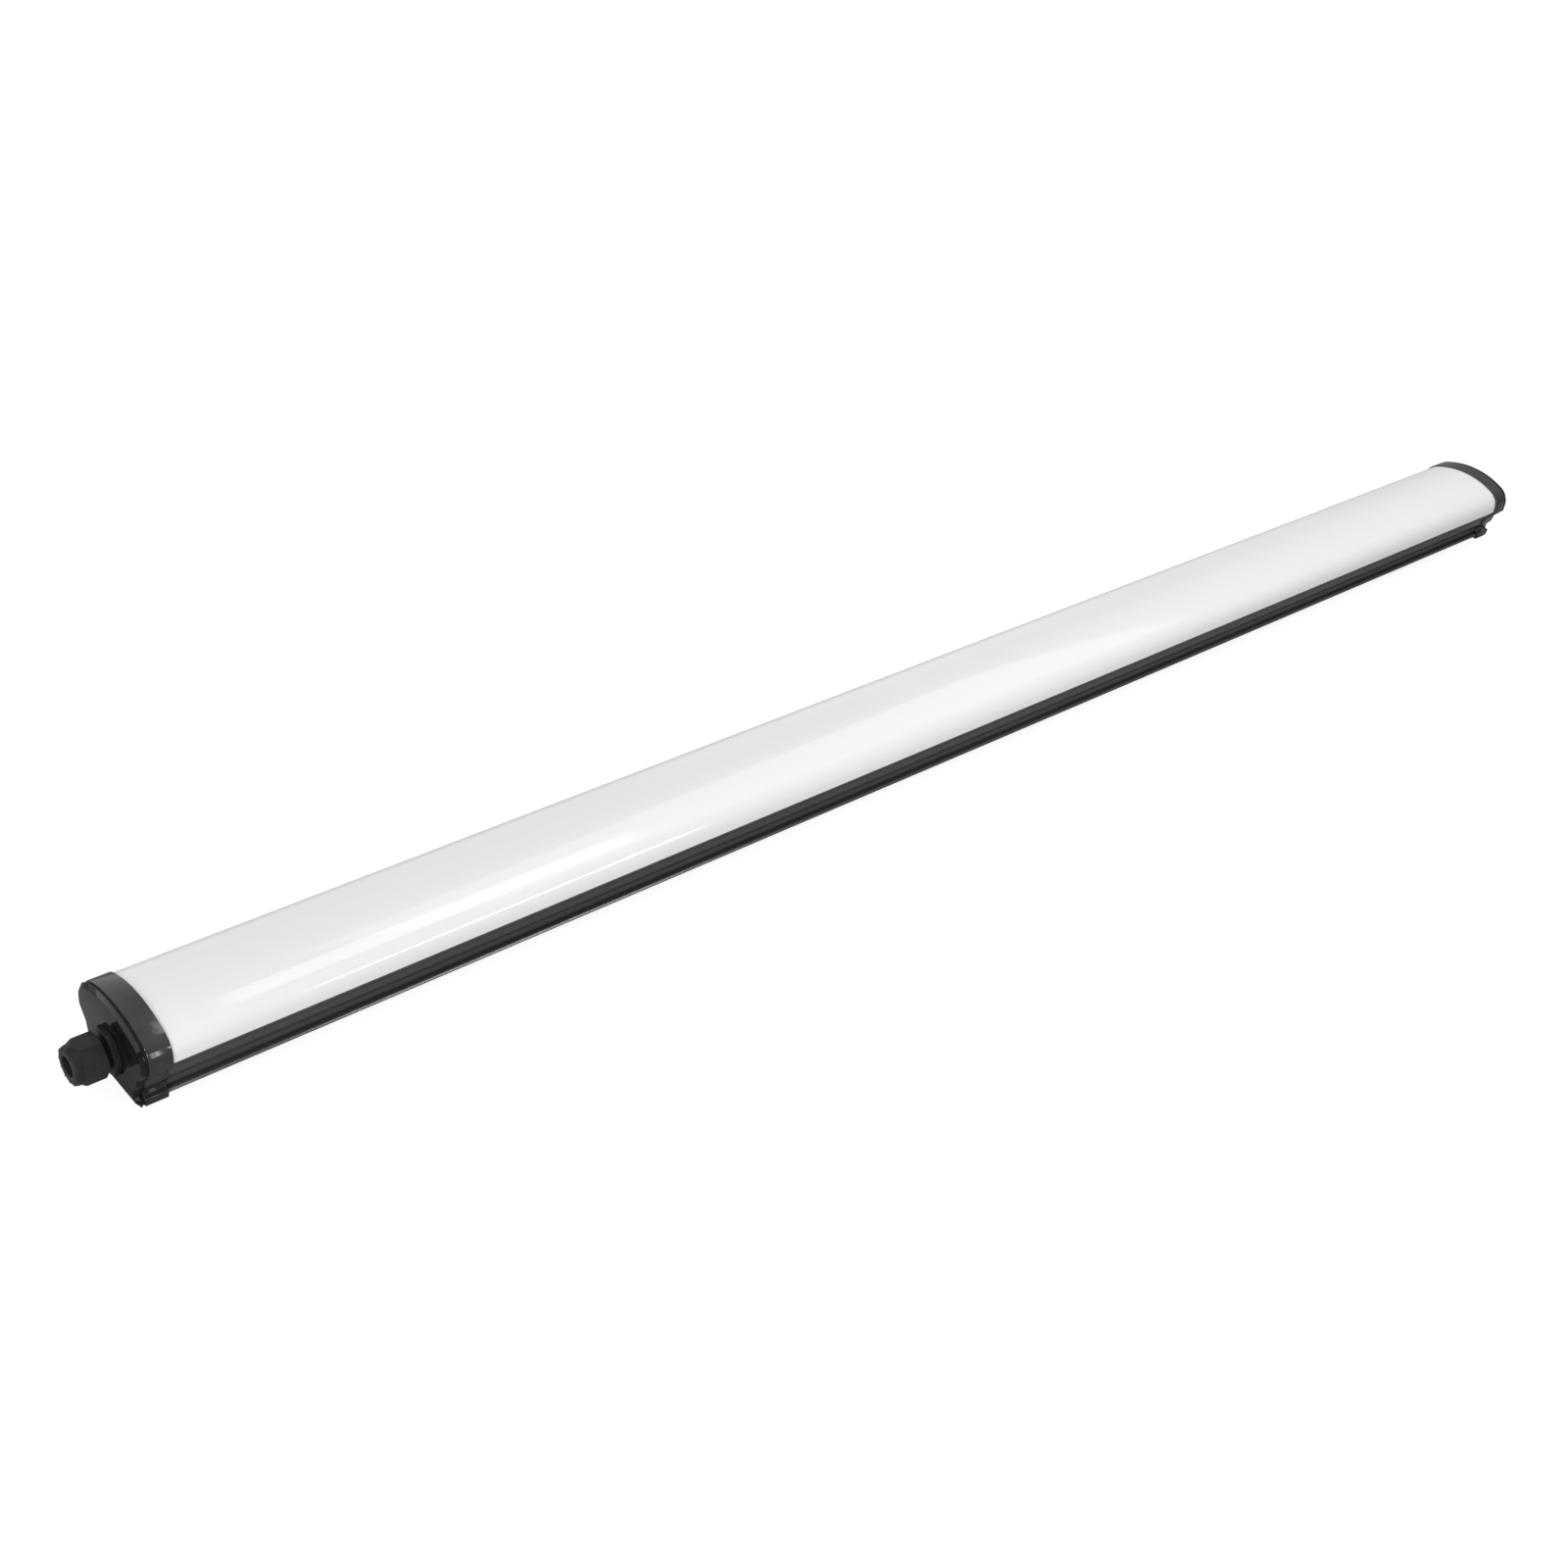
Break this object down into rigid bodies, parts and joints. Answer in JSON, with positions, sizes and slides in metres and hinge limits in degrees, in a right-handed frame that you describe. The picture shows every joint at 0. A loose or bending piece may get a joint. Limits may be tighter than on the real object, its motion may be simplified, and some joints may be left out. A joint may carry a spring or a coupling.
{
  "type": "vapor tight light fixture",
  "caption": "Long slim sealed lamp body with a domed opal lens, stepped end caps and a cable gland at one end.",
  "frame": {"origin": "middle of the body's flat back face", "axes": "+X along the fixture, away from the gland; +Z out of the back face through the lens; +Y across"},
  "size_m": [1.2226, 0.0694, 0.0495],
  "materials": {
    "black_extrusion": "black anodised extrusion, satin gloss",
    "black_moulding": "glossy black moulding",
    "opal_lens": "opal white extrusion, glossy outside",
    "gland_nylon": "black moulded nylon, satin",
    "black_rubber": "black moulded rubber",
    "grey_silicone": "grey silicone pad",
    "plated_steel": "zinc plated",
    "white_sheet": "white painted sheet steel",
    "board_white": "white solder mask",
    "driver_plastic": "white moulded case",
    "terminal_plastic": "white moulded nylon",
    "brown_insulation": "wire insulation",
    "blue_insulation": "wire insulation",
    "green_insulation": "wire insulation, green and yellow",
    "red_insulation": "wire insulation",
    "black_insulation": "wire insulation"
  },
  "bodies": {
    "fixture": {"board_link_1": "terminal_plastic", "board_link_2": "terminal_plastic", "board_link_3": "terminal_plastic", "board_screw_1": "plated_steel", "board_screw_2": "plated_steel", "board_screw_3": "plated_steel", "board_screw_4": "plated_steel", "board_screw_5": "plated_steel", "board_screw_6": "plated_steel", "board_screw_7": "plated_steel", "board_screw_8": "plated_steel", "body": "black_extrusion", "clamp_screw_1": "plated_steel", "clamp_screw_2": "plated_steel", "clamp_screw_3": "plated_steel", "collar_far": "black_moulding", "collar_near": "black_moulding", "driver_board": "board_white", "driver_case": "driver_plastic", "driver_lid": "driver_plastic", "driver_screw_1": "plated_steel", "driver_screw_2": "plated_steel", "earth_screw": "plated_steel", "earth_tag": "plated_steel", "end_plate_far": "black_moulding", "end_plate_near": "black_moulding", "end_screw_far_1": "plated_steel", "end_screw_far_2": "plated_steel", "end_screw_far_3": "plated_steel", "end_screw_far_4": "plated_steel", "end_screw_near_1": "plated_steel", "end_screw_near_2": "plated_steel", "end_screw_near_3": "plated_steel", "end_screw_near_4": "plated_steel", "end_seal_far": "grey_silicone", "end_seal_near": "grey_silicone", "gasket_far": "black_rubber", "gasket_near": "black_rubber", "gear_tray": "white_sheet", "gland_body": "gland_nylon", "gland_lock_nut": "gland_nylon", "gland_seal": "black_rubber", "gland_washer": "black_rubber", "lead_earth": "green_insulation", "lead_live": "brown_insulation", "lead_minus": "black_insulation", "lead_neutral": "blue_insulation", "lead_plus": "red_insulation", "led_board_1": "board_white", "led_board_2": "board_white", "led_board_3": "board_white", "led_board_4": "board_white", "lens": "opal_lens", "terminal_block": "terminal_plastic", "terminal_fixing_screw": "plated_steel"},
    "slip_ring": {"slip_ring": "plated_steel"},
    "gland_nut": {"gland_nut": "gland_nylon"}
  },
  "joints": [
    {"name": "nut_travel", "type": "slide", "parent": "fixture", "child": "slip_ring", "axis": [-1, 0, 0], "range_m": [0, 0.0045]},
    {"name": "nut_turn", "type": "hinge", "parent": "slip_ring", "child": "gland_nut", "pos_m": [-0.6, 0, 0.0176], "axis": [-1, 0, 0], "range_deg": [0, 1080]}
  ],
  "couplings": [
    {"joint": "nut_turn", "follows": "nut_travel", "rad_per_m": 4188.8}
  ]
}
